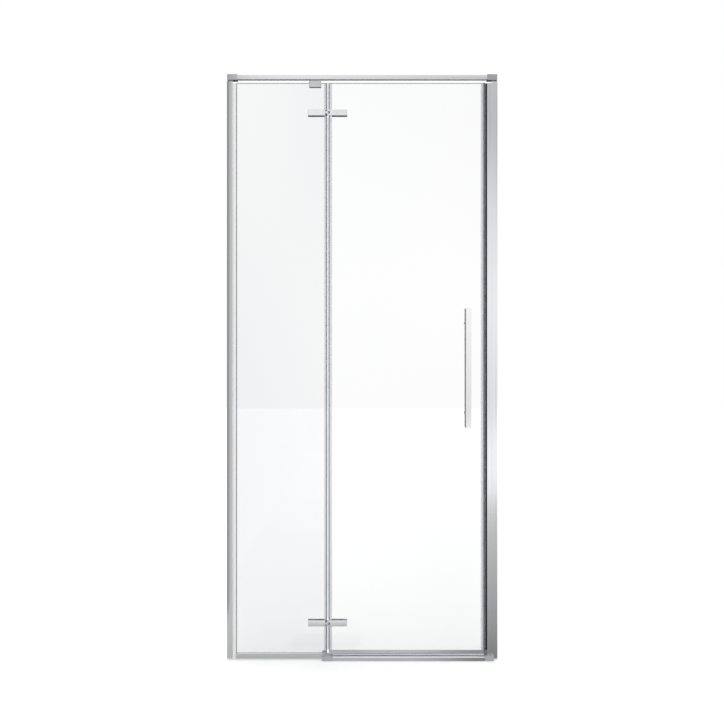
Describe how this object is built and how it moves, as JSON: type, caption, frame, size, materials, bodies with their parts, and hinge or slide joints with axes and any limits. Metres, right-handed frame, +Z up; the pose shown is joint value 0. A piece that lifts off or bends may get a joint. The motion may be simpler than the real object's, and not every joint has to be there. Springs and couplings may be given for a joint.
{
  "type": "pivot shower door",
  "caption": "Alcove shower door: a glass door hinged on a fixed glass pane between two wall profiles, with a head rail, a threshold and a bar handle.",
  "frame": {"origin": "on the shower tray, midway between the two walls, in the middle plane of the glass", "axes": "+X to the right seen from the room, +Y into the shower, +Z up; the door opens towards -Y"},
  "size_m": [0.9, 0.069, 1.95],
  "materials": {
    "bright_aluminium": "bright anodised",
    "satin_aluminium": "satin anodised",
    "chrome_fittings": "polished chrome plate",
    "stainless_steel": "plain stainless steel",
    "clear_glass": "clear toughened glass with polished edges",
    "clear_seal": "clear flexible plastic",
    "dark_seal": "dark flexible plastic",
    "magnet_strip": "black magnetic rubber",
    "grey_gasket": "grey glazing gasket",
    "hard_plastic": "white hard plastic",
    "grey_plastic": "grey moulded plastic"
  },
  "bodies": {
    "frame": {"left_wall_channel": "bright_aluminium", "left_glass_profile": "bright_aluminium", "left_glass_gaskets": "grey_gasket", "left_profile_screws": "stainless_steel", "fixed_glass": "clear_glass", "fixed_edge_seal": "clear_seal", "bottom_rail": "bright_aluminium", "bottom_rail_gaskets": "grey_gasket", "glass_setting_blocks": "hard_plastic", "threshold_joint": "chrome_fittings", "threshold_strip": "bright_aluminium", "threshold_end_cap": "chrome_fittings", "right_wall_channel": "bright_aluminium", "right_receiver_profile": "bright_aluminium", "right_profile_screws": "stainless_steel", "receiver_magnet_holder": "dark_seal", "receiver_magnet": "magnet_strip", "receiver_end_block": "grey_plastic", "top_rail": "satin_aluminium", "left_rail_bracket": "chrome_fittings", "right_rail_bracket": "chrome_fittings", "bracket_set_screws": "stainless_steel", "rail_clamp": "chrome_fittings", "rail_clamp_liner": "hard_plastic", "rail_clamp_grub_screws": "stainless_steel", "rail_clamp_screw": "stainless_steel", "rail_slide_nut": "stainless_steel", "fixed_hinge_screws": "stainless_steel", "lower_fixed_hinge_plate": "chrome_fittings", "lower_fixed_hinge_back": "chrome_fittings", "lower_fixed_hinge_gaskets": "grey_gasket", "lower_hinge_pin": "stainless_steel", "lower_hinge_washers": "hard_plastic", "upper_fixed_hinge_plate": "chrome_fittings", "upper_fixed_hinge_back": "chrome_fittings", "upper_fixed_hinge_gaskets": "grey_gasket", "upper_hinge_pin": "stainless_steel", "upper_hinge_washers": "hard_plastic"},
    "door": {"door_glass": "clear_glass", "door_hinge_screws": "stainless_steel", "door_hinge_seal": "clear_seal", "door_magnet_seal": "clear_seal", "door_magnet": "magnet_strip", "door_drip_profile": "satin_aluminium", "door_drip_liner": "hard_plastic", "door_wiper": "clear_seal", "handle_bar": "chrome_fittings", "handle_end_caps": "chrome_fittings", "handle_posts": "chrome_fittings", "handle_washers": "clear_seal", "handle_inner_caps": "chrome_fittings", "handle_bolts": "stainless_steel", "handle_nuts": "stainless_steel", "lower_door_hinge_plate": "chrome_fittings", "lower_door_hinge_back": "chrome_fittings", "lower_door_hinge_gaskets": "grey_gasket", "upper_door_hinge_plate": "chrome_fittings", "upper_door_hinge_back": "chrome_fittings", "upper_door_hinge_gaskets": "grey_gasket"}
  },
  "joints": [
    {"name": "door_swing", "type": "hinge", "parent": "frame", "child": "door", "pos_m": [-0.115, -0.014, 0.9715], "axis": [0, 0, -1], "range_deg": [0, 110]}
  ]
}
